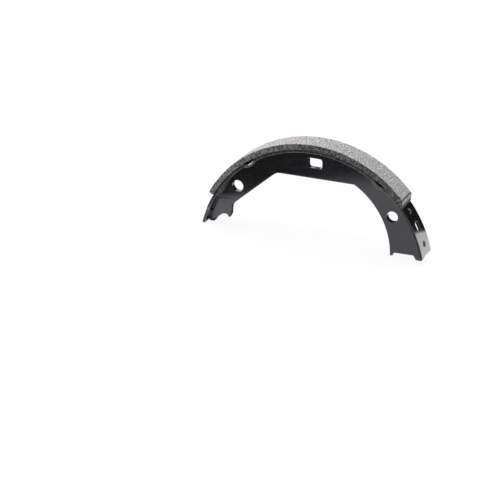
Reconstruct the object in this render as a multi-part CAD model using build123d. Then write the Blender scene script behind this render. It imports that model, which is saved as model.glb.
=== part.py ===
from build123d import *
import os
from math import atan2, cos, degrees, radians, sin, sqrt, tan

# Bonded drum brake shoe. A steel strip, the table, is rolled to the drum's curve and
# projection-welded across the edge of a fine-blanked steel web, and a moulded friction lining is
# glued to the table's outer face.
#
# Millimetres. X runs along the shoe's chord, Y across its width and Z up: the shoe stands on its
# two ends. Angles are measured about the drum's axis from the crown, in degrees, positive towards
# +X. The end at -X is called the heel and the end at +X the toe. Every piece is drawn about the
# drum's axis and set down on Z = 0 at the end.

# ---- driving dimensions -----------------------------------------------------------------------
# friction lining
drum_radius = 95.0              # the lining's friction face
lining_thickness = 4.25         # at the crown; it thins over the table's flare
lining_width = 19.6
lining_heel_angle = -63.2       # square end
lining_heel_round = 1.6
lining_toe_angle = 50.2         # foot of the bevelled end
lining_toe_bevel = 2.5          # degrees that the bevel leans back along the friction face

# cured adhesive film
bond_thickness = 0.25
bond_margin = 0.5               # it stops this far inside the table's edges
bond_end_margin = 0.3           # and this many degrees inside the lining's ends

# table
table_thickness = 2.2
table_width = 18.8
table_toe_angle = 75.9
flare_start_angle = -45.0       # past here the strip straightens towards its heel tab
flare_extra_radius = 8.5        # over the table's own radius
tab_width = 16.5                # the heel tab is narrower than the strip
tab_shoulder_angle = -70.3
tab_shoulder_run = 2.6

# slot and weld marks in the table's outer face
table_slot_angle = 61.8
table_slot_length = 8.7
table_slot_width = 5.8
toe_weld_angles = (53.6, 70.5)
toe_weld_diameter = 5.0
toe_weld_depth = 0.9
heel_weld_angles = (-64.5, -74.2)
heel_weld_diameter = 3.4
heel_weld_depth = 0.5

# nibs: half-cones pressed in at the table's edges, which ride on the backing plate
nib_angles = (-36.0, 34.5)
nib_length = 12.5               # of the opening along the edge
nib_depth = 2.2                 # how far the edge dips
nib_reach = 6.0                 # how far the cone runs in from the edge
nib_thinning = 0.2              # how much thinner than the strip the drawn wall is
nib_lip_round = 1.0             # where the cones meet the strip, inside and out

# web outline
web_thickness = 4.2
web_edge_round = 0.3            # smaller than every corner of the outline
seat_height = 16.6              # both ends stand on a plane this far above the drum's axis
crown_heel_angle = -26.8        # where the straight crown edge meets the heel's slanted edge
crown_heel_depth = 15.1         # below the table's bore
crown_heel_round = 8.0
crown_toe_angle = 23.6          # where it meets the toe's curved edge
crown_toe_depth = 15.2
crown_toe_round = 2.5
toe_edge_inset = 28.9           # how much tighter than the table's bore the toe's curved edge is
heel_foot_angle = -76.0         # the web leaves the table here, and its feet reach down
toe_foot_angle = 75.0

# web holes, their depths taken below the table's bore to the hole's centre
crown_slot_angle = -1.6
crown_slot_depth = 10.1
crown_slot_length = 11.3
crown_slot_width = 7.8
crown_slot_round = 2.0
toe_hole_angle = 51.9
toe_hole_depth = 11.8
toe_hole_diameter = 8.8
heel_hole_angle = -52.6
heel_hole_depth = 7.5
heel_hole_diameter = 9.1

# gaps between web and table, each between two welds
relief_depth = 1.1
heel_relief = (-73.9, -65.7)
toe_relief = (56.6, 67.8)

# coined face on the heel end, which slopes in from nothing to its full depth at the table
coin_depth = 0.5
coin_width = 20.5
coin_height = 21.6              # of its upper edge above the seat
coin_edge_slope = 7.0           # degrees

# ---- the table's curve ------------------------------------------------------------------------
table_radius = drum_radius - lining_thickness - bond_thickness
table_bore = table_radius - table_thickness
flare_radius = table_radius + flare_extra_radius
flare_bore = flare_radius - table_thickness


def polar(angle, radius):
    """The point at an angle from the crown and a radius from the drum's axis."""
    return Vector(radius * sin(radians(angle)), radius * cos(radians(angle)))


flare_centre = polar(flare_start_angle, -flare_extra_radius)


def on_table(angle, offset=0.0):
    """The point of the table's outer face at an angle, moved outward by offset."""
    if angle >= flare_start_angle:
        return polar(angle, table_radius + offset)
    lean = polar(angle, 1).dot(flare_centre)
    reach = flare_radius + offset
    return polar(angle, lean + sqrt(reach**2 - flare_extra_radius**2 + lean**2))


def table_curve(start, end, offset):
    """Arcs that follow the table's outer face, moved outward by offset, between two angles."""
    stops = [start, end]
    if min(start, end) < flare_start_angle < max(start, end):
        stops.insert(1, flare_start_angle)
    return [
        ThreePointArc(on_table(a, offset), on_table((a + b) / 2, offset), on_table(b, offset))
        for a, b in zip(stops, stops[1:])
    ]


def band(start, end, inner, outer):
    """Face between two offsets of the table's outer face, cut radially at both ends."""
    sides = [Line(on_table(angle, inner), on_table(angle, outer)) for angle in (start, end)]
    return make_face(table_curve(start, end, inner) + table_curve(start, end, outer) + sides)


def plate(profile, width):
    """A profile drawn in X and Z, given its width across Y."""
    return extrude(Plane.XZ * profile, width / 2, both=True)


def rounded(profile, corners):
    """A profile with the corner nearest each point rounded to its radius."""
    for point, radius in corners:
        profile = fillet(profile.vertices().sort_by_distance(point)[0], radius)
    return profile


def free_of_table(edge):
    """Whether an edge of the web lies clear of the table's bore, so that it can be rounded."""
    middle = Vector((edge @ 0.5).X, (edge @ 0.5).Z)
    angle = degrees(atan2(middle.X, middle.Y))
    return on_table(angle, -table_thickness).length - middle.length > web_edge_round


def table_frame(angle):
    """Frame on the table's outer face: X along the strip, Y across it, Z outward."""
    point = on_table(angle)
    centre = flare_centre if angle < flare_start_angle else Vector(0, 0)
    out = (point - centre).normalized()
    return Plane((point.X, 0, point.Y), x_dir=(out.Y, 0, -out.X), z_dir=(out.X, 0, out.Y))


# The seat plane meets the table's bore at these two corners, from which the web's ends are drawn.
heel_corner_drop = seat_height - flare_centre.Y
heel_corner = Vector(flare_centre.X - sqrt(flare_bore**2 - heel_corner_drop**2), seat_height)
toe_corner = Vector(sqrt(table_bore**2 - seat_height**2), seat_height)
table_heel_angle = degrees(atan2(heel_corner.X, heel_corner.Y))


# ---- table ------------------------------------------------------------------------------------
nib_wall = table_thickness - nib_thinning
nib_mouth_radius = (nib_length**2 / 4 + nib_depth**2) / (2 * nib_depth)
nib_axis_height = nib_mouth_radius - nib_depth


def nib_cone(angle, side, wall):
    """The cone of one nib, thickened by a wall, running in from the edge on one side."""
    frame = table_frame(angle)
    mouth = frame.origin + frame.y_dir * (side * table_width / 2) + frame.z_dir * nib_axis_height
    return Plane(mouth, x_dir=frame.x_dir, z_dir=frame.y_dir * -side) * Cone(
        nib_mouth_radius + wall,
        nib_axis_height + wall,
        nib_reach,
        align=(Align.CENTER, Align.CENTER, Align.MIN),
    )


def nib_pockets():
    """The four hollows that the nibs leave in the table's outer face."""
    return [nib_cone(angle, side, 0) for angle in nib_angles for side in (-1, 1)]


def nib_walls():
    """The four pressed-in walls, up to the middle of the strip."""
    strip_middle = Rot(X=90) * Cylinder(table_radius - table_thickness / 2, table_width)
    return [
        (nib_cone(angle, side, nib_wall) - nib_cone(angle, side, 0)) & strip_middle
        for angle in nib_angles
        for side in (-1, 1)
    ]


def tab_shoulders():
    """Cutters that narrow the heel tab, with a slanted shoulder at each edge."""
    past_end = 2 * table_width
    half = [
        (0, table_width / 2),
        (-tab_shoulder_run, tab_width / 2),
        (-past_end, tab_width / 2),
        (-past_end, table_width),
        (0, table_width),
    ]
    outline = Polygon(*half, align=None)
    both = outline + mirror(outline, Plane.XZ)
    return extrude(table_frame(tab_shoulder_angle) * both, past_end, both=True)


def weld_mark(angle, diameter, depth):
    """Round pit that a projection weld leaves in the outer face."""
    ball = (diameter**2 / 4 + depth**2) / (2 * depth)
    return table_frame(angle) * Pos(0, 0, ball - depth) * Sphere(ball)


def make_table():
    """Rolled strip with its nibs, heel tab, slot and weld marks."""
    strip = plate(band(table_heel_angle, table_toe_angle, -table_thickness, 0), table_width)
    strip -= tab_shoulders()
    strip = strip - nib_pockets() + nib_walls()
    strip = fillet(strip.edges().filter_by(GeomType.BSPLINE), nib_lip_round)
    slot = table_frame(table_slot_angle) * SlotOverall(table_slot_length, table_slot_width)
    strip -= extrude(slot, 2 * table_thickness, both=True)
    strip -= [weld_mark(angle, toe_weld_diameter, toe_weld_depth) for angle in toe_weld_angles]
    strip -= [weld_mark(angle, heel_weld_diameter, heel_weld_depth) for angle in heel_weld_angles]
    return strip


# ---- web --------------------------------------------------------------------------------------
def heel(inward, up):
    """A point of the web's heel end, measured from the corner of seat and bore."""
    return heel_corner + Vector(inward, up)


def toe(inward, up):
    """A point of the web's toe end, measured the same way."""
    return toe_corner + Vector(-inward, up)


def web_outline():
    """The blanked outline: table side, toe with its foot and hook, inner edge, heel."""
    # foot, notch and hook of each end, each corner with its radius
    toe_end = [
        (toe(1.4, 0), 1.4),
        (toe(6.4, 0), 1.0),
        (toe(8.6, 3.3), 0.8),
        (toe(23.9, 2.6), 0.8),
        (toe(24.8, 0), 0.5),
        (toe(26.8, 0), 0.6),
    ]
    heel_end = [
        (heel(19.2, 16.2), 6.0),
        (heel(19.0, 8.4), 3.0),
        (heel(17.5, 4.9), 0.6),
        (heel(15.6, 7.8), 1.2),
        (heel(12.2, 7.8), 2.5),
        (heel(6.9, 3.4), 1.0),
        (heel(5.0, 0), 1.0),
        (heel(0.7, 0), 0.7),
    ]
    crown_toe = polar(crown_toe_angle, table_bore - crown_toe_depth)
    crown_heel = polar(crown_heel_angle, table_bore - crown_heel_depth)
    toe_points = [point for point, _ in toe_end]
    heel_points = [point for point, _ in heel_end]
    edges = table_curve(heel_foot_angle, toe_foot_angle, -table_thickness)
    edges += Polyline(on_table(toe_foot_angle, -table_thickness), *toe_points).edges()
    edges += [RadiusArc(toe_points[-1], crown_toe, toe_edge_inset - table_bore)]
    edges += Polyline(
        crown_toe, crown_heel, *heel_points, on_table(heel_foot_angle, -table_thickness)
    ).edges()
    crown = [(crown_toe, crown_toe_round), (crown_heel, crown_heel_round)]
    return rounded(make_face(edges), toe_end + crown + heel_end)


def web_hole(angle, depth):
    """Where a hole's centre lies, below the table's bore."""
    return Pos(polar(angle, table_bore - depth))


def coining():
    """Cutter for the coined face of the heel end, laid against the web's near side."""
    slope = coin_depth / coin_width
    near_side = Plane(
        (heel_corner.X + coin_width, -web_thickness / 2, heel_corner.Y),
        x_dir=(1, -slope, 0),
        z_dir=(-slope, -1, 0),
    )
    upper_edge_drop = 2 * coin_width * tan(radians(coin_edge_slope))
    region = Polygon(
        (0, coin_height),
        (-2 * coin_width, coin_height - upper_edge_drop),
        (-2 * coin_width, -coin_height),
        (0, -coin_height),
        align=None,
    )
    return extrude(near_side * region, web_thickness)


def make_web():
    """Blanked plate with rounded edges, its holes, reliefs and coined heel."""
    blank = plate(web_outline(), web_thickness)
    rims = blank.faces().filter_by(Axis.Y).edges()
    blank = fillet(rims.filter_by(free_of_table), web_edge_round)
    relief_floor = -table_thickness - relief_depth
    openings = Sketch() + [
        band(*heel_relief, relief_floor, -table_thickness),
        band(*toe_relief, relief_floor, -table_thickness),
        web_hole(crown_slot_angle, crown_slot_depth)
        * RectangleRounded(crown_slot_length, crown_slot_width, crown_slot_round),
        web_hole(toe_hole_angle, toe_hole_depth) * Circle(toe_hole_diameter / 2),
        web_hole(heel_hole_angle, heel_hole_depth) * Circle(heel_hole_diameter / 2),
    ]
    return blank - plate(openings, 2 * web_thickness) - coining()


# ---- lining and its adhesive ------------------------------------------------------------------
def make_lining():
    """Moulded block, ground to the drum outside and moulded to the table inside."""
    bevel_top = lining_toe_angle - lining_toe_bevel
    heel_top = polar(lining_heel_angle, drum_radius)
    middle = polar((lining_heel_angle + bevel_top) / 2, drum_radius)
    toe_top = polar(bevel_top, drum_radius)
    profile = make_face(
        table_curve(lining_heel_angle, lining_toe_angle, bond_thickness)
        + [
            ThreePointArc(heel_top, middle, toe_top),
            Line(toe_top, on_table(lining_toe_angle, bond_thickness)),
            Line(heel_top, on_table(lining_heel_angle, bond_thickness)),
        ]
    )
    return plate(rounded(profile, [(heel_top, lining_heel_round)]), lining_width)


def make_bond():
    """Adhesive film under the lining, open over the nibs' hollows."""
    start = lining_heel_angle + bond_end_margin
    end = lining_toe_angle - bond_end_margin
    film = plate(band(start, end, 0, bond_thickness), table_width - 2 * bond_margin)
    return film - nib_pockets()


# ---- the shoe ---------------------------------------------------------------------------------
pieces = {
    "shoe_web": make_web(),
    "shoe_table": make_table(),
    "bond_film": make_bond(),
    "friction_lining": make_lining(),
}

# The origin goes under the middle of the strip's length, on the plane that the shoe stands on.
middle_x = pieces["shoe_table"].bounding_box().center().X
set_down = Pos(-middle_x, 0, -seat_height)

os.makedirs("parts", exist_ok=True)
for name, piece in pieces.items():
    export_step(set_down * piece, f"parts/{name}.step")
    print(name, len(piece.solids()), "solid", round(piece.volume), "mm3")
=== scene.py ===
# %% [markdown]
# # A drum brake shoe and its finishes
# A brake shoe is a curved steel strip welded to the edge of a flat steel plate, the web. A block
# of friction material is glued to the outside of the strip and rubs on the inside of the drum.
# The solid model gives the true shape of all four pieces. This lesson keeps those shapes and adds
# what a solid modeller leaves out: the paint, the grain of the friction material, the glue that
# has oozed from the joint, and a small studio to look at it all in.

# %% Load the solid model
import math

import bmesh
import bpy
from mathutils import Euler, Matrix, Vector, noise
from mathutils.bvhtree import BVHTree


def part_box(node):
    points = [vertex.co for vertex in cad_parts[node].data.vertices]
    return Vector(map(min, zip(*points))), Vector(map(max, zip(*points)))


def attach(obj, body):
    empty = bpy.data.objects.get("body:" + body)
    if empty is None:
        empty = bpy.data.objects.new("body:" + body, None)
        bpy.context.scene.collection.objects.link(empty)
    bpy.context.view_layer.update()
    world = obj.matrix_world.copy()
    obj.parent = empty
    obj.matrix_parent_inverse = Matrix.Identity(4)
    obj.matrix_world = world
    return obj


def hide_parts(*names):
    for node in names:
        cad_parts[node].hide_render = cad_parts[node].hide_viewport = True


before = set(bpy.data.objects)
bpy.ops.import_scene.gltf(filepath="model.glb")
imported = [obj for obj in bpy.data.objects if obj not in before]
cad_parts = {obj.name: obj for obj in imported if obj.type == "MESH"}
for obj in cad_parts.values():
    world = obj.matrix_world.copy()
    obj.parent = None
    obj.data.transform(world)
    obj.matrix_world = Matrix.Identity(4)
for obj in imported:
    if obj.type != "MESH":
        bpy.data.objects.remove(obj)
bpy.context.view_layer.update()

MM = 0.001
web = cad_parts["shoe_web"]
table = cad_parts["shoe_table"]
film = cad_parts["bond_film"]
solid_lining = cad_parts["friction_lining"]
print("Pieces:", ", ".join(sorted(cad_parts)))

# %% [markdown]
# ## Where the drum's axis is
# Nearly everything on a shoe follows the drum's axis: the grinding of the lining, the glue joint,
# the strip. The solid model has its origin on the floor, under the middle of the shoe. The axis
# could be typed in as a place, but it stays true if it is found from the solid instead, with the
# few sizes that the shoe was drawn with. The upper corner of the lining's toe end is the
# lining's furthest point along X, and the floor lies a known height above the axis.

# %% Find the drum's axis
drum_radius = 95 * MM
seat_height = 16.6 * MM             # of the floor above the drum's axis
table_radius = 90.5 * MM            # of the strip's outer face
flare_start_angle = math.radians(-45)
flare_extra_radius = 8.5 * MM       # of the strip past the flare
lining_toe_angle = math.radians(50.2)
lining_toe_bevel = math.radians(2.5)

lining_low, lining_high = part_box("friction_lining")
ridge_angle = lining_toe_angle - lining_toe_bevel   # of the lining's upper corner at the toe
axis_x = lining_high.x - drum_radius * math.sin(ridge_angle)


def around(angle, radius, across=0.0):
    """The point at an angle from the crown and a radius from the axis, and a place across."""
    return Vector((
        axis_x + radius * math.sin(angle),
        across,
        radius * math.cos(angle) - seat_height,
    ))


def from_axis(point):
    """The angle from the crown and the radius from the axis of a point."""
    right = point.x - axis_x
    up = point.z + seat_height
    return math.atan2(right, up), math.hypot(right, up)


def strip_radius(angle, above=0.0):
    """How far the strip's outer face is from the axis. Past the flare it follows a flatter arc."""
    if angle >= flare_start_angle:
        return table_radius + above
    lean = -flare_extra_radius * math.cos(angle - flare_start_angle)
    reach = table_radius + flare_extra_radius + above
    return lean + math.sqrt(reach**2 - flare_extra_radius**2 + lean**2)


print(f"The axis is at x = {axis_x / MM:.2f} mm, {seat_height / MM} mm under the floor")

# %% [markdown]
# ## The camera
# A long lens from a metre and a half away keeps a small part free of strong perspective, as a
# catalogue does. The camera could be made to track the shoe, but its turn, tilt and roll are set
# as angles, which say more. It looks down on the shoe from its toe end, so that the web's near
# side, the ground face of the lining and the toe of the strip all show.

# %% Set up the camera
sensor_width = 36.0
picture_width = 480                 # in pixels, and the picture is square
focal_length_in_pixels = 2062.05
camera_turn = math.radians(23.58)   # from looking along +Y, towards -X
camera_tilt = math.radians(23.08)   # below the horizon
camera_roll = math.radians(1.49)
camera_place = (519.55 * MM, -1329.7 * MM, 605.8 * MM)


def put_in_scene(name, data):
    """A new object in the scene, from a mesh, a lamp or a lens."""
    thing = bpy.data.objects.new(name, data)
    bpy.context.scene.collection.objects.link(thing)
    return thing


lens = bpy.data.cameras.new("camera")
lens.sensor_width = sensor_width
lens.lens = focal_length_in_pixels / picture_width * sensor_width
camera = put_in_scene("camera", lens)
facing = Euler((math.pi / 2 - camera_tilt, 0, camera_turn)).to_matrix().to_4x4()
camera.matrix_world = facing @ Euler((0, 0, camera_roll)).to_matrix().to_4x4()
camera.location = camera_place
bpy.context.scene.camera = camera
print(f"Lens {lens.lens:.1f} mm, {camera.location.length:.2f} m from the shoe")

# %% [markdown]
# ## Small helpers for nodes
# A finish is a graph of nodes. It could be drawn by hand in the Shader Editor, but written as
# code it can be read, repeated and changed in one place. The first helper adds a node and sets
# its values, and links any value that is another node's output. The others do a step of
# arithmetic, change a value's range, measure between vectors, blend two colours, name a grey and
# raise relief. The last two empty a graph and start a material with a Principled shader, which
# covers paint, glue and friction material alike.

# %% Helpers for nodes
def add_node(tree, kind, values=(), **settings):
    """Adds a node. values goes to its inputs by name or number, settings to its properties."""
    node = tree.nodes.new("ShaderNode" + kind)
    for name, value in settings.items():
        setattr(node, name, value)
    for key, value in dict(values).items():
        if isinstance(value, bpy.types.NodeSocket):
            tree.links.new(value, node.inputs[key])
        else:
            node.inputs[key].default_value = value
    return node


def calculate(tree, operation, *numbers, clamp=False):
    """One step of arithmetic on the graph."""
    return add_node(
        tree, "Math", dict(enumerate(numbers)), operation=operation, use_clamp=clamp
    ).outputs[0]


def spread(tree, value, low, high, out_low=0.0, out_high=1.0):
    """Maps a value from one range to another, and holds it at both ends."""
    limits = {0: value, 1: low, 2: high, 3: out_low, 4: out_high}
    return add_node(tree, "MapRange", limits).outputs[0]


def measure(tree, operation, first, second):
    """A number from two vectors, such as how far apart they are."""
    return add_node(tree, "VectorMath", {0: first, 1: second}, operation=operation).outputs[1]


def blend_colours(tree, share, first, second):
    """Mixes two colours by a share from 0 to 1."""
    return add_node(tree, "Mix", {0: share, 6: first, 7: second}, data_type="RGBA").outputs[2]


def grey(level, warmth=0.0):
    """A grey as a colour, pulled towards yellow by warmth."""
    return (level, level * (1 - 0.3 * warmth), level * (1 - warmth), 1)


def raise_relief(tree, height, strength, depth, **normals):
    """Normals bent by a height, as a share of a depth."""
    values = {"Height": height, "Strength": strength, "Distance": depth, **normals}
    return add_node(tree, "Bump", values).outputs[0]


def empty_graph(owner):
    """Gives a material or a world a graph with no nodes in it yet."""
    owner.use_nodes = True
    owner.node_tree.nodes.clear()
    return owner.node_tree


def start_material(name):
    """A new material with one Principled shader."""
    material = bpy.data.materials.new(name)
    tree = empty_graph(material)
    shader = add_node(tree, "BsdfPrincipled")
    add_node(tree, "OutputMaterial", {"Surface": shader.outputs[0]})
    return material, tree, shader


print("Helpers ready")

# %% [markdown]
# ## Texture that follows the drum
# The strip and the lining are bent round the drum's axis, so their textures are too. Unwrapping
# them would do it, but the solid's faces have no flat map, and a few sums do without one. The
# object's own coordinates are turned into arc length, width and distance from the axis. Grinding
# lines then follow the curve, and a finish can differ between the strip's bore and its outer
# face.

# %% Lay texture space round the axis
def round_the_axis(tree):
    """Texture space as arc length, width and distance from the axis, with angle and distance."""
    place = add_node(tree, "TexCoord").outputs["Object"]
    split = add_node(tree, "SeparateXYZ", {0: place})
    right = calculate(tree, "SUBTRACT", split.outputs["X"], axis_x)
    up = calculate(tree, "ADD", split.outputs["Z"], seat_height)
    angle = calculate(tree, "ARCTAN2", right, up)
    squares = [calculate(tree, "MULTIPLY", side, side) for side in (right, up)]
    radius = calculate(tree, "SQRT", calculate(tree, "ADD", *squares))
    arc = calculate(tree, "MULTIPLY", angle, drum_radius)
    curved = add_node(tree, "CombineXYZ", {0: arc, 1: split.outputs["Y"], 2: radius}).outputs[0]
    return curved, angle, radius


def soft_noise(tree, place, size, detail):
    """Cloudy noise with lumps of about a given size."""
    return add_node(
        tree, "TexNoise", {"Vector": place, "Scale": 1 / size, "Detail": detail}
    ).outputs[0]


print("Texture space follows an arc of", round(drum_radius / MM), "mm radius")

# %% [markdown]
# ## Gloss black paint
# The web and the strip are welded first and then dipped in black paint, so one coat covers both.
# Wet paint draws itself smooth, but never quite flat: it keeps a faint orange peel. Handling
# leaves dull smears, and dust settles on it. The colour is close to black and nearly all of what
# the eye sees is reflection, so the work goes into the roughness and the bump.
#
# Blanked and rolled steel has no knife edges either, and paint rounds them further. Those narrow
# rounds draw the thin bright lines that make a part look solid. The Bevel node bends the normals
# next to an edge, as a round would, and leaves the exact shading of the solid's own faces alone,
# which a Bevel modifier on this imported mesh doesn't.

# %% Mix the paint
thinnest_black = grey(0.004)
fullest_black = grey(0.008, 0.05)
# Pale steel: where the paint is worn off, and also the painted highlights on the strip.
bare_steel_and_highlight = grey(0.16, 0.03)
settled_dust = grey(0.07)
dust_specks_per_metre = 520
dust_share = 0.35                   # how far a speck covers the black
clear_roughness = 0.12
smeared_roughness = 0.24
sunk_roughness = 0.35               # that is added where the paint has sunk in
coat_roughness = 0.05
peel_depth = 0.03 * MM
tooth_depth = 1.5                   # times the peel, of the steel under sunken paint


def coat_of_paint(name, roundness, covered, shine, coat_index, tint, waviness):
    """Black dip paint. roundness and covered are functions that add nodes to the paint's graph.
    covered gives two shares: how thick and shiny the paint lies, and how far it turns pale steel,
    which is bare steel on worn edges and a painted highlight on rolled corners and weld rims.
    It is told the rounded normals, so that a corner counts as a rolled face, not as an edge."""
    material, tree, shader = start_material(name)
    curved, angle, radius = round_the_axis(tree)
    cloud = soft_noise(tree, curved, size=14 * MM, detail=3)
    smear = soft_noise(tree, curved, size=3.8 * MM, detail=5)
    peel = soft_noise(tree, curved, size=1.6 * MM, detail=1.5)
    tooth = soft_noise(tree, curved, size=0.35 * MM, detail=2)
    specks = add_node(tree, "TexVoronoi", {"Vector": curved, "Scale": dust_specks_per_metre})
    dust = spread(tree, specks.outputs["Distance"], 0.04, 0.08, 1, 0)
    width = roundness(tree, angle, radius)
    rounded = add_node(tree, "Bevel", {"Radius": width}, samples=6).outputs[0]
    thick, bare_and_highlit = covered(tree, rounded, curved, angle, radius)
    thin = calculate(tree, "SUBTRACT", 1.0, thick)

    black = blend_colours(tree, cloud, thinnest_black, fullest_black)
    # The pale steel also paints the strip's highlights at its bore's corner and on its weld rims.
    paler = blend_colours(tree, bare_and_highlit, black, bare_steel_and_highlight)
    dusty = blend_colours(tree, calculate(tree, "MULTIPLY", dust, dust_share), paler, settled_dust)
    tree.links.new(dusty, shader.inputs["Base Color"])
    dull = calculate(tree, "MULTIPLY", thin, sunk_roughness)
    smeared = spread(tree, smear, 0.35, 0.75, clear_roughness, smeared_roughness)
    rough = calculate(tree, "ADD", smeared, dull, clamp=True)
    tree.links.new(rough, shader.inputs["Roughness"])
    shader.inputs["Specular IOR Level"].default_value = shine
    shader.inputs["Specular Tint"].default_value = tint
    tree.links.new(thick, shader.inputs["Coat Weight"])
    shader.inputs["Coat Roughness"].default_value = coat_roughness
    shader.inputs["Coat IOR"].default_value = coat_index

    coarse = calculate(tree, "MULTIPLY", calculate(tree, "MULTIPLY", tooth, thin), tooth_depth)
    relief = calculate(tree, "ADD", calculate(tree, "ADD", peel, coarse), dust)
    bump = raise_relief(tree, relief, waviness, peel_depth, Normal=rounded)
    tree.links.new(bump, shader.inputs["Normal"])
    tree.links.new(bump, shader.inputs["Coat Normal"])
    return material


print("Paint recipe ready")

# %% [markdown]
# ## The web's coat
# The web is a blanked plate whose rims rolled over in the press, so it gets a wide soft round, the
# widest along its long inner edge. The paint ran off it in broad patches while it drained. At the
# heel the plate was coined thinner, and the paint lies dull along the sloping step where the
# coined face begins. The step is a line, so the graph measures how far a point is from that line.

# %% Say how the paint lies on the web
inner_rim_radius = 71.5 * MM        # the web's inner edge is nearer to the axis than this
inner_rim_fade = 2.5 * MM
inner_rim_round = 1.3 * MM
web_rim_round = 0.5 * MM
coin_step_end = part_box("shoe_web")[0].x + 20.5 * MM     # towards the toe
coin_step_height = 21.6 * MM        # above the floor at that end
coin_step_slope = math.tan(math.radians(7))
coin_step_fade = 5 * MM             # from its end until the line is at its dullest
coin_line_core = 0.30 * MM          # to each side of the step
coin_line_reach = 0.55 * MM
coin_line_coat = 0.1                # of the full coat


def web_round(tree, angle, radius):
    """The web's rims rolled over in the press, most along its long inner edge."""
    rim_end = inner_rim_radius + inner_rim_fade
    return spread(tree, radius, inner_rim_radius, rim_end, inner_rim_round, web_rim_round)


def web_cover(tree, rounded, curved, angle, radius):
    """An even coat, thinner where it drained and along the step of the coined heel."""
    patches = soft_noise(tree, curved, size=30 * MM, detail=2)
    drained = spread(tree, patches, 0.2, 0.7, 0.85, 1.0)
    place = add_node(tree, "TexCoord").outputs["Object"]
    split = add_node(tree, "SeparateXYZ", {0: place})
    past_end = calculate(tree, "SUBTRACT", split.outputs["X"], coin_step_end)
    drop = calculate(tree, "MULTIPLY", past_end, coin_step_slope)
    above_end = calculate(tree, "SUBTRACT", split.outputs["Z"], coin_step_height)
    off_step = calculate(tree, "ABSOLUTE", calculate(tree, "SUBTRACT", above_end, drop))
    near_step = spread(tree, off_step, coin_line_core, coin_line_reach, 1, 0)
    along_step = spread(tree, past_end, -coin_step_fade, 0, 1, 0)
    dull = calculate(tree, "MULTIPLY", near_step, along_step)
    kept = spread(tree, dull, 0, 1, 1, coin_line_coat)
    bare_and_highlit = 0.0
    return calculate(tree, "MULTIPLY", drained, kept), bare_and_highlit


print(f"The coined step ends at x = {coin_step_end / MM:.1f} mm")

# %% [markdown]
# ## The strip's coat
# The strip was rolled and then sheared to width, which leaves its two edges torn: the paint sinks
# in, dries dull there, and the ridges of the tear stay pale. That pale steel is painted stronger
# towards the bore, as the highlight on the rolled lower corner, and weaker under the lining, as
# its shade. Past the lining's toe end the paint ran thin over the edges and left them dark. The
# four nibs were drawn in from the edges and have wide soft lips. The welds left scorched pits in
# the outer face, and round each a pale ring is painted as the highlight on its rim. All this could
# be painted by hand on a map, but the angle and the radius say where each mark is, and the marks
# then stay put when the size changes.

# %% Say how the paint lies on the strip
nib_angles = [math.radians(degrees) for degrees in (-36, 34.5)]
nib_half_width = math.radians(3.2)  # of the pockets pressed into the strip's edges
nib_lip_round = 1.5 * MM
bore_edge = table_radius - 1.2 * MM
bore_round = 0.9 * MM
outer_round = 0.55 * MM
edge_facing = (0.93, 0.99)          # how squarely a torn edge looks sideways
edge_coat_usual = 0.45              # of the full coat
edge_coat_at_toe = 0.08
pale_ridges = 0.42                  # how far the steel shows on the ridges of the tear
toe_edge_starts = 0.86              # radians from the crown, near the lining's toe end
toe_edge_full = 0.92
pale_edge_ends = 0.80
weld_radius = 2.6 * MM
# How pale a highlight is painted on the rim of each weld's pit.
weld_rim_highlights = {53.6: 1.0, 70.5: 0.3}   # how pale the ring is at each weld's angle in degrees


def table_round(tree, angle, radius):
    """Wide at the strip's bore, narrower at its outer face, and widest at the nibs' drawn lips."""
    width = spread(tree, radius, bore_edge, bore_edge + 0.5 * MM, bore_round, outer_round)
    for nib in nib_angles:
        from_nib = calculate(tree, "ABSOLUTE", calculate(tree, "SUBTRACT", angle, nib))
        lip = spread(
            tree, from_nib, 0.8 * nib_half_width, 1.2 * nib_half_width, nib_lip_round, 0
        )
        width = calculate(tree, "MAXIMUM", width, lip)
    return width


def weld_mark(tree, curved, degrees, rim_paleness):
    """How thick the paint lies round one weld, and how pale the highlight painted on its rim is.
    """
    pit = (math.radians(degrees) * drum_radius, 0, table_radius)
    away = measure(tree, "DISTANCE", curved, pit)
    clear_of_pit = spread(tree, away, 0.9 * weld_radius, weld_radius, 0.2, 1.0)
    inside = spread(tree, away, 0.55 * weld_radius, 0.70 * weld_radius)
    outside = spread(tree, away, 0.8 * weld_radius, weld_radius, 1, 0)
    # The ring is painted pale steel, as a painted highlight on the pit's rim.
    ring = calculate(tree, "MULTIPLY", inside, outside)
    rim_breakup = soft_noise(tree, curved, size=2.4 * MM, detail=2)
    broken = spread(tree, rim_breakup, 0.38, 0.55, 0, rim_paleness)
    return clear_of_pit, calculate(tree, "MULTIPLY", ring, broken)


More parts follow.
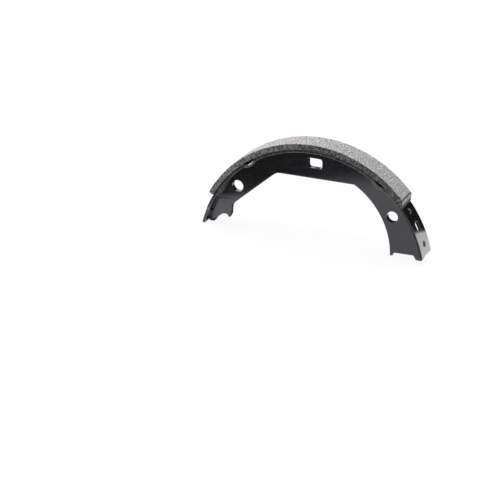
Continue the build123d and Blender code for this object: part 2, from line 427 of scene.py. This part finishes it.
def table_cover(tree, rounded, curved, angle, radius):
    """Full on the rolled faces, thin and torn on the sheared edges, scorched at the welds."""
    sideways = add_node(tree, "SeparateXYZ", {0: rounded}).outputs["Y"]
    edge = spread(tree, calculate(tree, "ABSOLUTE", sideways), *edge_facing)
    tear = soft_noise(tree, curved, size=1.1 * MM, detail=4)
    torn = spread(tree, tear, 0.48, 0.62, 0.0, pale_ridges)
    edge_coat = spread(
        tree, angle, toe_edge_starts, toe_edge_full, edge_coat_usual, edge_coat_at_toe
    )
    thick = spread(tree, edge, 0, 1, 1.0, edge_coat)
    # Painted highlight and shade: the edge's pale steel grows towards the bore's rolled corner and
    # fades under the lining.
    bore_highlight_top_shade = spread(tree, radius, bore_edge, table_radius - 0.2 * MM, 1.2, 0.3)
    clear_of_toe = spread(tree, angle, pale_edge_ends, toe_edge_full, 1.0, 0.3)
    bare_and_highlit = calculate(tree, "MULTIPLY", calculate(tree, "MULTIPLY", edge, torn), bore_highlight_top_shade)
    bare_and_highlit = calculate(tree, "MULTIPLY", bare_and_highlit, clear_of_toe)
    for degrees, rim_paleness in weld_rim_highlights.items():
        clear_of_pit, ring = weld_mark(tree, curved, degrees, rim_paleness)
        thick = calculate(tree, "MULTIPLY", thick, clear_of_pit)
        bare_and_highlit = calculate(tree, "MAXIMUM", bare_and_highlit, ring)
    return thick, bare_and_highlit


print("Marks on the strip:", len(nib_angles), "pairs of nibs,", len(weld_rim_highlights), "welds")

# %% [markdown]
# ## Painting the steel
# Both pieces came out of the same dip, but they don't look the same. The web's gloss is faintly
# blue, as thin black over phosphated steel is, and lies nearly flat. The strip was rolled, so its
# coat has more waves, and the thicker paint on it mirrors more. One recipe with a few settings
# keeps them related.

# %% Paint the steel
blue_gloss = (0.83, 0.85, 1.0, 1.0)
plain_gloss = (1.0, 1.0, 1.0, 1.0)

web.material_slots[0].material = coat_of_paint(
    "web_paint_black",
    web_round,
    web_cover,
    shine=0.8,
    coat_index=1.5,
    tint=blue_gloss,
    waviness=0.25,
)

table.material_slots[0].material = coat_of_paint(
    "table_paint_black",
    table_round,
    table_cover,
    shine=0.35,
    coat_index=1.9,
    tint=plain_gloss,
    waviness=0.6,
)
for piece in (web, table):
    print(f"{piece.name} is painted with {piece.material_slots[0].material.name}")

# %% [markdown]
# ## The lining's surface as a fine net
# The friction material is a pressed mix of chips, fibres and resin. Grinding to size leaves its
# outer face flat but pitted, while its sides stay as rough as the mould left them, and grains
# have broken away along the corners. That roughness is real shape. A displacement on the solid's
# own mesh has too few points to move, so the lining is rebuilt as a fine net of squares laid on
# the solid. The net is the skin of a block of small bricks, counted along, across and through the
# thickness, and each of its points is set on the nearest point of the solid, so that the size
# stays true.

# %% Lay the net
bond_thickness = 0.25 * MM
lining_heel_angle = math.radians(-63.2)
bricks_along = 430
bricks_across = 46
bricks_deep = 10


def skin_of_block():
    """The points on the skin of a block of bricks, as steps, and the squares between them."""
    number = {}
    squares = []
    counts = (bricks_along, bricks_across, bricks_deep)

    def point(step):
        return number.setdefault(step, len(number))

    for axis in range(3):
        first, second = [a for a in range(3) if a != axis]
        for end in (0, counts[axis]):
            for i in range(counts[first]):
                for j in range(counts[second]):
                    corners = []
                    for di, dj in ((0, 0), (1, 0), (1, 1), (0, 1)):
                        step = [0, 0, 0]
                        step[axis] = end
                        step[first] = i + di
                        step[second] = j + dj
                        corners.append(point(tuple(step)))
                    outward = (end > 0) == (axis != 1)
                    squares.append(corners if outward else corners[::-1])
    return list(number), squares


lining_width = lining_high.y - lining_low.y
net_steps, net_squares = skin_of_block()


def net_place(step):
    """Where a step of the net lies on the lining: its angle, radius and place across."""
    along, across, deep = (
        s / n for s, n in zip(step, (bricks_along, bricks_across, bricks_deep))
    )
    toe_end = lining_toe_angle - lining_toe_bevel * deep
    angle = lining_heel_angle + (toe_end - lining_heel_angle) * along
    inner = strip_radius(angle, bond_thickness)
    return angle, inner + (drum_radius - inner) * deep, lining_low.y + lining_width * across


lining_mesh = bpy.data.meshes.new("lining_block")
lining_mesh.from_pydata([around(*net_place(step)) for step in net_steps], [], net_squares)
solid_skin = BVHTree.FromObject(solid_lining, bpy.context.evaluated_depsgraph_get())
moved = 0.0
for vertex in lining_mesh.vertices:
    seat = solid_skin.find_nearest(vertex.co)[0]
    moved = max(moved, (seat - vertex.co).length)
    vertex.co = seat
lining_mesh.update()
print(f"Net of {len(net_squares)} squares, moved at most {moved / MM:.2f} mm onto the solid")

# %% [markdown]
# ## Grain, pits and broken corners
# The sides have the coarse grain of the mould, the ground face has a few shallow pits where a
# chip was torn out, and along the two long corners of the ground face the grains crumble. A
# Displace modifier could do one of these. Sums on each point do all three, because they know
# which face a point is on and how near a corner it is. Three short functions say how near, how
# crumbled and how deep.

# %% Say how deep the lining is worn
side_grain = 0.26 * MM              # depth of the mould's coarse grain
coarse_grain_size = 1.1 * MM
fine_grain_size = 0.45 * MM
pit_depth = 0.14 * MM
pit_size = 1.6 * MM
crumble_depth = 0.30 * MM
crumble_core = 0.25 * MM            # from the corner, where the crumbling is full
crumble_reach = 1.0 * MM
large_clump_size = 1.5 * MM
small_clump_size = 0.7 * MM
glue_edge = 0.1 * MM                # above the strip, up to where the side stays smooth
glue_margin = 0.9 * MM              # above the strip, from where the grain is full


def grain(point, size, seed=0.0):
    """Smooth noise from -1 to 1, with lumps of about a given size."""
    return noise.noise(point / size + Vector((seed, seed, seed)))


def ramp(value, low, high):
    """Rises smoothly from 0 at low to 1 at high, on whichever side of low that is."""
    share = min(max((value - low) / (high - low), 0.0), 1.0)
    return share * share * (3 - 2 * share)


def nearness_to_corner(point, radius):
    """1 at the two long corners of the ground face, and 0 away from them."""
    below_top = drum_radius - radius
    in_from_side = lining_width / 2 - abs(point.y)
    return 1 - ramp(max(below_top, in_from_side), crumble_core, crumble_reach)


def crumbling(point):
    """How far the grains have broken up at a point, in clumps."""
    large = grain(point, large_clump_size, seed=5.0)
    small = grain(point, small_clump_size, seed=13.0)
    return ramp(0.6 * large + 0.5 * small, 0.0, 0.55)


def worn_depth(point, radius, moulded, ground, near_corner, crumble):
    """How deep the skin lies under the solid's face, on a moulded side and on the ground face."""
    depth = 0.0
    if moulded:
        keep = ramp(radius - strip_radius(0), glue_edge, glue_margin)
        coarse = grain(point, coarse_grain_size, seed=3.0)
        fine = grain(point, fine_grain_size, seed=8.0)
        depth += side_grain * keep * (0.45 + 0.35 * coarse + 0.3 * fine)
    if ground:
        depth += pit_depth * ramp(grain(point, pit_size, seed=21.0), 0.45, 0.75)
    depth += crumble_depth * near_corner * (0.2 + 0.8 * crumble)
    return max(depth, 0.0)


print(f"Grain of {side_grain / MM:.2f} mm, pits of {pit_depth / MM:.2f} mm")

# %% [markdown]
# ## What the grinding bared
# The block is dipped with the rest of the shoe and ground afterwards. So the ground face shows the
# bare mix, the sides keep the black, and the two ends are bared in part. A broken corner shows the
# bare mix too, mostly towards the heel, while the corner at the toe stays crisp and dark. Just
# before the ridge of the toe's bevel the face is darker in a narrow band. The net
# remembers this as a number on each point, and the lining's finish reads that number later.

# %% Say where the lining is bare
ridge_reach = 2.0 * MM              # of the duller band before the toe's ridge
ridge_line = 0.4 * MM               # at the ridge itself, which the stone has bared
crisp_until = 10 * MM               # along X, how far from the middle the toe's crisp corner comes
broken_from = 45 * MM               # along -X, from where the corner is broken the most
band_dullness = 0.6
crisp_bareness = 0.5                # of the crisp corner, and 1 where it is broken
crisp_chips = 0.15


def bareness(step, point, angle, near_corner, crumble):
    """How far the mix is bared at a point of the net, from 0 to 1."""
    along, across, deep = step
    to_heel = ramp(-point.x, -crisp_until, broken_from)
    open_face = 0.0
    if deep == bricks_deep:
        to_ridge = drum_radius * ridge_angle - drum_radius * angle
        in_band = ramp(to_ridge, ridge_reach, 0.7 * ridge_reach)
        open_face = 1 - band_dullness * in_band * ramp(to_ridge, 0, ridge_line)
        if across in (0, bricks_across):
            open_face *= crisp_bareness + (1 - crisp_bareness) * to_heel
    elif along in (0, bricks_along):
        open_face = 0.3 + 0.6 * ramp(deep / bricks_deep, 0.2, 0.8)
    chips_here = crisp_chips + (1 - crisp_chips) * to_heel
    chip = near_corner * ramp(crumble, 0.25, 0.8) * chips_here
    return max(open_face * (1 - 0.9 * near_corner * (1 - crumble)), chip)


print(f"The duller band before the ridge is {ridge_reach / MM:.0f} mm wide")

# %% [markdown]
# ## Roughening the net
# Each point now sinks along its normal by the depth that was worked out for it. Nothing is pushed
# outward, so the lining can't grow, and no point may leave the lining's width. All the normals are
# read before the first point moves, or a point's own normal would already be bent by its
# neighbours.

# %% Roughen the net
bared = []
sunk = []
for step, vertex in zip(net_steps, lining_mesh.vertices):
    on_ground = step[2] == bricks_deep
    on_moulded = step[0] in (0, bricks_along) or step[1] in (0, bricks_across)
    angle, radius = from_axis(vertex.co)
    near_corner = nearness_to_corner(vertex.co, radius)
    crumble = crumbling(vertex.co)
    sunk.append(worn_depth(vertex.co, radius, on_moulded, on_ground, near_corner, crumble))
    bared.append(bareness(step, vertex.co, angle, near_corner, crumble))

normals = [vertex.normal.copy() for vertex in lining_mesh.vertices]
for vertex, normal, depth in zip(lining_mesh.vertices, normals, sunk):
    vertex.co -= normal * depth
    vertex.co.y = min(max(vertex.co.y, lining_low.y), lining_high.y)
lining_mesh.attributes.new("bared", "FLOAT", "POINT").data.foreach_set("value", bared)
lining_mesh.polygons.foreach_set("use_smooth", [True] * len(lining_mesh.polygons))
lining_mesh.update()

lining = put_in_scene("lining_block", lining_mesh)
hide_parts("friction_lining")
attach(lining, "root")
print(f"Sunk by {sum(sunk) / len(sunk) / MM:.3f} mm on average, {max(sunk) / MM:.2f} mm at most")

# %% [markdown]
# ## The friction material's finish
# The ground face shows the mix itself: a grey matrix with paler and darker chips about a
# millimetre across, finer grit between them, and faint lines round the drum's axis where the
# grinding wheel ran. The sides took the black dip paint, but it soaked into the rough grain and
# covers it unevenly, thinnest at the heel. Cells with straight borders could stand for the chips,
# but noise cut off at a level has the ragged outlines that chips have. Each layer of the mix is
# one noise, the two levels between which its colour comes in, and that colour.

# %% Mix the friction material
dark_matrix = grey(0.13, 0.06)
pale_matrix = (grey(0.69, 0.03), grey(0.80, 0.05))
soaked_black = (grey(0.010), grey(0.065))   # on the sides, at the toe and at the heel
worn_black = (grey(0.135), grey(0.235))
side_fleck = grey(0.40, 0.05)
heel_starts = -0.90                 # radians from the crown, where the sides are at their palest
toe_starts = 0.05
side_roughness = 0.60
ground_roughness = 0.70
mix_shine = 0.3
mix_relief = 0.6
mix_depth = 0.06 * MM


def mix_friction_material():
    """Ground mix where the net says that it is bared, soaked black paint elsewhere."""
    material, tree, shader = start_material("friction_material_ground")
    curved, angle, _ = round_the_axis(tree)
    elsewhere = add_node(
        tree, "Mapping", {"Vector": curved, "Location": (0.3, 0.1, 0.2)}
    ).outputs[0]
    drawn_out = add_node(tree, "Mapping", {"Vector": curved, "Scale": (0.10, 1, 1)}).outputs[0]

    cloud = soft_noise(tree, curved, size=7.0 * MM, detail=4)
    mottle = soft_noise(tree, curved, size=1.3 * MM, detail=4)
    lumps = soft_noise(tree, elsewhere, size=1.15 * MM, detail=3)
    grit = soft_noise(tree, curved, size=0.32 * MM, detail=2)
    flecks = soft_noise(tree, elsewhere, size=0.60 * MM, detail=3)
    lines = soft_noise(tree, drawn_out, size=0.50 * MM, detail=3)

    pale = blend_colours(tree, cloud, *pale_matrix)
    ground = blend_colours(tree, spread(tree, mottle, 0.40, 0.60), dark_matrix, pale)
    layers = [
        (grit, 0.65, 0.35, 0.5, grey(0.24, 0.06)),      # dark grit between the chips
        (lines, 0.48, 0.75, 0.4, grey(0.26, 0.05)),     # lines from the grinding wheel
        (lumps, 0.42, 0.30, 0.75, grey(0.15, 0.06)),    # dark chips
        (lumps, 0.58, 0.70, 0.7, grey(0.72, 0.04)),     # pale chips
        (flecks, 0.66, 0.72, 0.85, grey(0.80, 0.05)),   # bright flecks
    ]
    for layer, from_level, full_level, most, colour in layers:
        share = spread(tree, layer, from_level, full_level, 0, most)
        ground = blend_colours(tree, share, ground, colour)

    heel_share = spread(tree, angle, heel_starts, toe_starts, 1, 0)
    soaked = blend_colours(tree, heel_share, *soaked_black)
    paler = blend_colours(tree, heel_share, *worn_black)
    mottled = blend_colours(tree, spread(tree, lumps, 0.46, 0.56), soaked, paler)
    flecked = spread(tree, flecks, 0.60, 0.68, 0, 0.7)
    sides = blend_colours(tree, flecked, mottled, side_fleck)

    net_says = add_node(tree, "Attribute", attribute_name="bared").outputs["Fac"]
    frayed = calculate(tree, "ADD", net_says, spread(tree, flecks, 0.3, 0.7, -0.22, 0.22))
    open_share = spread(tree, frayed, 0.42, 0.58)
    colour = blend_colours(tree, open_share, sides, ground)
    tree.links.new(colour, shader.inputs["Base Color"])
    rough = spread(tree, open_share, 0, 1, side_roughness, ground_roughness)
    tree.links.new(rough, shader.inputs["Roughness"])
    shader.inputs["Specular IOR Level"].default_value = mix_shine
    lined = calculate(tree, "MULTIPLY", lines, 0.6)
    height = calculate(tree, "ADD", lined, calculate(tree, "ADD", flecks, grit))
    bump = raise_relief(tree, height, mix_relief, mix_depth)
    tree.links.new(bump, shader.inputs["Normal"])
    return material


lining_mesh.materials.append(mix_friction_material())
print("Lining finish:", lining_mesh.materials[0].name)

# %% [markdown]
# ## A bead of glue
# The lining is bonded with a film of adhesive that is pressed and cured hot. Pressing squeezes a
# little out, where it sets as an uneven row of small beads in the corner under the lining. A curve
# with a round bevel would be even all along, and loose balls would look strung up. So a bead is
# one thin tube whose thickness swells and shrinks with noise, and it reads as drops that ran
# together. A function gives the tube its stations: a middle, two directions and a size.

# %% Say how a bead is made
bead_sides = 8
bead_flatness = 0.7                 # of a bead's height to its width
bead_taper = 6                      # rings over which a bead thins out at its ends


def drops(along):
    """How far the squeezed glue swells at a point, from 0 to 1."""
    small = ramp(grain(along, 1.3 * MM, seed=31.0), 0.05, 0.7)
    large = ramp(grain(along, 3.8 * MM, seed=37.0), 0.0, 0.8)
    return 0.7 * small + 0.3 * large


def bead_skin(rings, station):
    """The points and faces of a tube through its stations, closed at both ends."""
    points = []
    faces = []
    for ring in range(rings + 1):
        middle, sideways, upward, size = station(ring / rings)
        size *= ramp(min(ring, rings - ring), -0.5, bead_taper)
        for corner in range(bead_sides):
            turn = math.tau * corner / bead_sides
            points.append(
                middle
                + sideways * size * math.cos(turn)
                + upward * bead_flatness * size * math.sin(turn)
            )
    for ring in range(rings):
        for corner in range(bead_sides):
            a = ring * bead_sides + corner
            b = ring * bead_sides + (corner + 1) % bead_sides
            faces.append((a, b, b + bead_sides, a + bead_sides))
    faces.append(tuple(range(bead_sides)))
    faces.append(tuple(rings * bead_sides + corner for corner in range(bead_sides)))
    return points, faces


def make_bead(name, rings, station):
    """A piece of glue from its stations, with its faces turned outward."""
    points, faces = bead_skin(rings, station)
    mesh = bpy.data.meshes.new(name)
    mesh.from_pydata(points, [], faces)
    shape = bmesh.new()
    shape.from_mesh(mesh)
    bmesh.ops.recalc_face_normals(shape, faces=shape.faces)
    shape.to_mesh(mesh)
    shape.free()
    mesh.polygons.foreach_set("use_smooth", [True] * len(faces))
    bead = put_in_scene(name, mesh)
    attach(bead, "root")
    return bead


print("A bead has", bead_sides, "sides")

# %% [markdown]
# ## Where the glue came out
# The glue came out along both sides of the lining and across its toe end, where the bead is
# thicker. Over the pockets that are pressed into the strip it has nothing to bridge, and breaks
# off. The film itself is the solid's own piece, and only the beads are added.

# %% Lay the beads
side_bead_rings = 620
side_bead_across = 9.15 * MM        # from the middle of the strip's width
side_bead_sizes = (0.10 * MM, 0.34 * MM)
side_bead_end_gap = math.radians(0.8)
toe_bead_rings = 90
toe_bead_reach = 8.6 * MM           # to each side of the strip's middle
toe_bead_sizes = (0.18 * MM, 0.50 * MM)
bead_rise = 0.05 * MM               # of their middle above the strip
bead_left = 0.05                    # of a bead's size over a pocket of the strip
side_noise_place = 40 * MM          # the drops of each bead are read from noise of its own
toe_noise_place = 70 * MM


def side_station(side):
    """Stations of a bead along one side of the lining."""
    start = lining_heel_angle + side_bead_end_gap
    span = lining_toe_angle - side_bead_end_gap - start
    thin, thick = side_bead_sizes

    def station(share):
        angle = start + span * share
        swell = drops(Vector((angle * drum_radius, side * side_noise_place, 0)))
        size = thin + (thick - thin) * swell
        to_nib = min(abs(angle - nib) for nib in nib_angles)
        clear_of_nib = ramp(to_nib, 0.9 * nib_half_width, 1.1 * nib_half_width)
        size *= bead_left + (1 - bead_left) * clear_of_nib
        middle = around(angle, strip_radius(angle, bead_rise), side_bead_across * side)
        return middle, Vector((0, 1, 0)), around(angle, 1) - around(angle, 0), size

    return station


def toe_station(share):
    """Stations of the bead across the lining's toe end."""
    across = toe_bead_reach * (2 * share - 1)
    thin, thick = toe_bead_sizes
    size = thin + (thick - thin) * drops(Vector((across, 0, toe_noise_place)))
    middle = around(lining_toe_angle, strip_radius(lining_toe_angle, bead_rise), across)
    upward = around(lining_toe_angle, 1) - around(lining_toe_angle, 0)
    return middle, Vector((0, 1, 0)).cross(upward), upward, size


beads = [
    make_bead("glue_beads_near", side_bead_rings, side_station(-1)),
    make_bead("glue_beads_far", side_bead_rings, side_station(1)),
    make_bead("glue_bead_toe", toe_bead_rings, toe_station),
]
print("Beads:", [piece.name for piece in beads])

# %% [markdown]
# ## Cured adhesive
# Cured film adhesive is a dark brown resin with a dull shine. Where it has oozed out it took up
# dust from the grinding, so the beads are flecked with pale grey. Film and beads are the same
# resin, so they share one recipe that differs only in how much dust lies on it.

# %% Mix the adhesive
thin_resin = (0.022, 0.017, 0.014, 1)
thick_resin = (0.05, 0.04, 0.033, 1)
grinding_dust = grey(0.55, 0.06)
resin_cloud_size = 2.5 * MM
dust_size = MM / 1.4
resin_roughness = 0.38
dust_roughness = 0.85
resin_relief = 0.5
resin_depth = 0.05 * MM


def mix_adhesive(name, dusting):
    """Dark resin, dusted by a share from 0 to 1."""
    material, tree, shader = start_material(name)
    place = add_node(tree, "TexCoord").outputs["Object"]
    cloud = soft_noise(tree, place, size=resin_cloud_size, detail=4)
    dust = soft_noise(tree, place, size=dust_size, detail=3)
    share = spread(tree, dust, 0.44, 0.58, 0, dusting)
    resin = blend_colours(tree, cloud, thin_resin, thick_resin)
    colour = blend_colours(tree, share, resin, grinding_dust)
    tree.links.new(colour, shader.inputs["Base Color"])
    rough = spread(tree, share, 0, 1, resin_roughness, dust_roughness)
    tree.links.new(rough, shader.inputs["Roughness"])
    bump = raise_relief(tree, dust, resin_relief, resin_depth)
    tree.links.new(bump, shader.inputs["Normal"])
    return material


film.material_slots[0].material = mix_adhesive("adhesive_film", dusting=0.2)
bead_finish = mix_adhesive("adhesive_beads", dusting=0.75)
for piece in beads:
    piece.data.materials.append(bead_finish)
print("Adhesives:", film.material_slots[0].material.name, bead_finish.name)

# %% [markdown]
# ## The floor
# The floor is pale and dull. Lit floor alone would come out grey unless the lamps were turned up,
# and that would bleach the shoe. So where the eye or a reflection meets it, most of it is plain
# white and the rest is the lit surface, which keeps the shoe's shadow as the faint grey of a
# bright table.

# %% Build the floor
floor_half = 4.0
floor_white_share = 0.91
floor_paint = grey(0.88)
plain_white = grey(1.0)


def seen_directly(tree):
    """1 for rays of the camera and of reflections, 0 for rays that gather soft light."""
    path = add_node(tree, "LightPath")
    mirrored = calculate(
        tree, "MAXIMUM", path.outputs["Is Glossy Ray"], path.outputs["Is Transmission Ray"]
    )
    return calculate(tree, "MAXIMUM", path.outputs["Is Camera Ray"], mirrored)


def flat_card(name, corners):
    """A single face through four corners."""
    mesh = bpy.data.meshes.new(name)
    mesh.from_pydata(corners, [], [(0, 1, 2, 3)])
    card = put_in_scene(name, mesh)
    return card


def mix_floor():
    """Lit floor under a share of plain white."""
    material = bpy.data.materials.new("floor_white")
    tree = empty_graph(material)
    lit = add_node(tree, "BsdfDiffuse", {"Color": floor_paint})
    white = add_node(tree, "Emission", {"Color": plain_white, "Strength": 1.0})
    share = calculate(tree, "MULTIPLY", seen_directly(tree), floor_white_share)
    both = add_node(tree, "MixShader", {0: share, 1: lit.outputs[0], 2: white.outputs[0]})
    add_node(tree, "OutputMaterial", {"Surface": both.outputs[0]})
    return material


floor = flat_card(
    "floor", [(x * floor_half, y * floor_half, 0) for x, y in ((-1, -1), (1, -1), (1, 1), (-1, 1))]
)
floor.data.materials.append(mix_floor())
print(f"Floor of {2 * floor_half:.0f} m a side, {floor_white_share:.0%} plain white")

# %% [markdown]
# ## The lamps
# A wide soft light nearly straight above does most of the work. It is a sun lamp with a broad
# disc, which gives the same light everywhere, so the floor stays even. A softbox at the heel end
# lifts the lining from there to past the crown. Two narrow lamps stand beside it and show only in
# reflections: one draws a bright line across the heel tab, and the other puts a white glint into
# the nib near the heel. They are narrow, because a broad lamp would turn the whole tab white when
# it is seen from behind.

# %% Hang the lamps
softbox_distance = 1.0
sun_strength = 2.4
sun_disc = math.radians(55)
sun_lean = (math.radians(-6), math.radians(-8), 0)


def only_in_reflections(thing):
    """Hides a card or a lamp from everything but reflections."""
    thing.visible_camera = False
    thing.visible_diffuse = False
    thing.visible_shadow = False
    thing.visible_transmission = False


def area_lamp(name, size, radiance):
    """A rectangular lamp. Its power is worked out from how bright it looks."""
    light = bpy.data.lights.new(name, "AREA")
    light.shape = "RECTANGLE"
    light.size, light.size_y = size
    light.energy = radiance * math.pi * light.size * light.size_y
    return put_in_scene(name, light)


def hang_softbox(name, direction, size, radiance):
    """An area lamp that hangs in a direction from the shoe and faces back to it."""
    lamp = area_lamp(name, size, radiance)
    toward = Vector(direction).normalized()
    lamp.location = toward * softbox_distance
    lamp.rotation_euler = toward.to_track_quat("Z", "Y").to_euler()
    return lamp


sun = bpy.data.lights.new("soft_key", "SUN")
sun.energy = sun_strength
sun.angle = sun_disc
key_lamp = put_in_scene("soft_key", sun)
key_lamp.rotation_euler = sun_lean

heel_softbox = hang_softbox("heel_softbox", (-0.93, -0.10, 0.42), size=(0.36, 0.36), radiance=8)
heel_softbox.visible_glossy = False
heel_glare = hang_softbox("heel_glare", (-0.93, -0.08, 0.36), size=(1.1, 0.12), radiance=10)
only_in_reflections(heel_glare)
nib_glint = hang_softbox("nib_glint", (-0.83, -0.54, 0.20), size=(0.46, 0.11), radiance=32)
only_in_reflections(nib_glint)
print("Lamps:", [lamp.name for lamp in (key_lamp, heel_softbox, heel_glare, nib_glint)])

# %% [markdown]
# ## The room
# A pale room fills the shadows. It is white to the eye and in reflections, and dimmer where it
# only gathers soft light, so that it doesn't wash the shoe out. A dome with a picture of a studio
# could do this too, but a plain world needs no file and hides nothing.

# %% Light the room
room_fill = 0.35                    # of the soft light, beside 1 for what is seen

world = bpy.data.worlds.new("studio")
world_tree = empty_graph(world)
strength = spread(world_tree, seen_directly(world_tree), 0, 1, room_fill, 1.0)
sky = add_node(world_tree, "Background", {"Color": plain_white, "Strength": strength})
add_node(world_tree, "OutputWorld", {"Surface": sky.outputs[0]})
bpy.context.scene.world = world
bpy.context.scene.view_settings.view_transform = "Standard"
print("World:", world.name)

# %% [markdown]
# ## Dark cards for the web's gloss
# Black gloss looks like whatever it faces. In an all white room this shoe would be grey all over.
# A product studio hangs black cards, called flags, just outside the view to put dark shapes back
# into the gloss. They could be real black boards, but those would shade the shoe as well, so these
# are seen by reflections only. One lies in front of the heel and the crown and fades out towards
# the toe, so that the web goes from black to dark grey. A small one lies under the heel, for the
# inside of the strip and the cut edges of the web.

# %% Hang the web's flags
flag_lift = 0.5 * MM                # above the floor
front_facing = (-0.63, -0.777, 0)   # square to the edge where the front flag begins
front_heel_x = -0.09                # the flag's edge and its softness change from here
front_toe_x = -0.03                 # to here, as the web's reflection spreads out
front_edge = (93 * MM, 84 * MM)     # how far forward the flag begins, at the heel and the toe
front_softness = (14 * MM, 45 * MM)
front_dim = (-50 * MM, 30 * MM)     # along X, where a faint darkness comes in towards the toe
front_dim_share = 0.30


def hang_flag(name, corners, level, darkness=None):
    """A dark card that only reflections see. darkness adds nodes that fade it from 1 to 0."""
    card = flat_card(name, corners)
    material = bpy.data.materials.new(name)
    tree = empty_graph(material)
    share = darkness(tree) if darkness else 1.0
    clear = add_node(tree, "BsdfTransparent")
    dark = add_node(tree, "Emission", {"Color": grey(level), "Strength": 1.0})
    both = add_node(tree, "MixShader", {0: share, 1: clear.outputs[0], 2: dark.outputs[0]})
    add_node(tree, "OutputMaterial", {"Surface": both.outputs[0]})
    card.data.materials.append(material)
    only_in_reflections(card)
    return card


def on_floor(low_x, low_y, high_x, high_y):
    """Corners of a rectangle just above the floor."""
    return [
        (low_x, low_y, flag_lift),
        (high_x, low_y, flag_lift),
        (high_x, high_y, flag_lift),
        (low_x, high_y, flag_lift),
    ]


def front_darkness(tree):
    """Dark in front of a slanting line on the floor, with a softer edge towards the toe."""
    place = add_node(tree, "TexCoord").outputs["Object"]
    forward = measure(tree, "DOT_PRODUCT", place, front_facing)
    along = add_node(tree, "SeparateXYZ", {0: place}).outputs["X"]
    line = spread(tree, along, front_heel_x, front_toe_x, *front_edge)
    past_line = calculate(tree, "SUBTRACT", forward, line)
    softness = spread(tree, along, front_heel_x, front_toe_x, *front_softness)
    by_the_heel = calculate(tree, "DIVIDE", past_line, softness, clamp=True)
    by_the_toe = spread(tree, along, *front_dim, 0, front_dim_share)
    return calculate(tree, "MAXIMUM", by_the_heel, by_the_toe)


front_corners = on_floor(low_x=-0.40, low_y=-0.45, high_x=0.10, high_y=-0.004)
heel_corners = on_floor(low_x=-0.13, low_y=-0.006, high_x=-0.055, high_y=0.09)
web_flags = [
    hang_flag("front_flag", front_corners, level=0.06, darkness=front_darkness),
    hang_flag("heel_flag", heel_corners, level=0.06),
]
print("Flags for the web:", [flag.name for flag in web_flags])

# %% [markdown]
# ## A dark card for the toe
# The bare toe of the strip mirrors what stands behind it. A flag there makes its upper part black
# down to a slanting line, under which the pale table shows. The flag stands square to what the toe
# reflects. A card with a cut edge would draw that line too clean, so the flag fades out over a few
# millimetres, along an edge that noise has made a little ragged.

# %% Hang the toe's flag
toe_flag_foot = Vector((0.1095, 0.042, 0.021))
toe_flag_side = Vector((0.84, -0.53, 0)).normalized()
toe_flag_slope = 0.97
toe_flag_left = -0.20
toe_flag_top = 0.13
toe_flag_bottom = 1 * MM
toe_flag_softness = 6 * MM
toe_flag_raggedness = 2.5 * MM


def toe_flag_corner(side, height):
    """A corner of the toe's flag, from how far it is to the side of the foot and its height."""
    return (*(toe_flag_foot + toe_flag_side * side).xy, height)


def toe_darkness(tree):
    """Fades the flag out towards its slanting edge, which is a little ragged."""
    place = add_node(tree, "TexCoord").outputs["Object"]
    upward = Vector((0, 0, 1)) - toe_flag_side * toe_flag_slope
    height = measure(tree, "DOT_PRODUCT", place, upward)
    above_edge = calculate(tree, "SUBTRACT", height, toe_flag_foot.dot(upward))
    rags = soft_noise(tree, place, size=6 * MM, detail=2)
    ragged = spread(tree, rags, 0.3, 0.7, -toe_flag_raggedness, toe_flag_raggedness)
    above = calculate(tree, "ADD", above_edge, ragged)
    return calculate(tree, "DIVIDE", above, toe_flag_softness, clamp=True)


toe_corners = [
    toe_flag_corner(toe_flag_left, toe_flag_bottom),
    toe_flag_corner(-toe_flag_foot.z / toe_flag_slope, toe_flag_bottom),
    toe_flag_corner((toe_flag_top - toe_flag_foot.z) / toe_flag_slope, toe_flag_top),
    toe_flag_corner(toe_flag_left, toe_flag_top),
]
toe_flag = hang_flag("toe_flag", toe_corners, level=0.02, darkness=toe_darkness)
print("Flag for the toe:", toe_flag.name)

# %% [markdown]
# ## A glowing table behind the toe
# A studio with a white background often lights the far part of the table from below. Seen at a
# grazing angle in the gloss of the toe, that glow is what turns black paint to silver. A brighter
# floor would light the whole shoe. A lamp that lies on the table and shows only in reflections
# puts no more light on it.

# %% Light the far table
glow_low = Vector((0.093, 0.004))
glow_size = Vector((2.2, 2.6))
glow_height = 1 * MM

table_glow = area_lamp("table_glow", glow_size, radiance=0.55)
table_glow.location = (*(glow_low + glow_size / 2), glow_height)
table_glow.rotation_euler = (math.pi, 0, 0)
only_in_reflections(table_glow)
print(f"Glow of {table_glow.data.energy:.0f} W over {glow_size.x:.1f} x {glow_size.y:.1f} m")
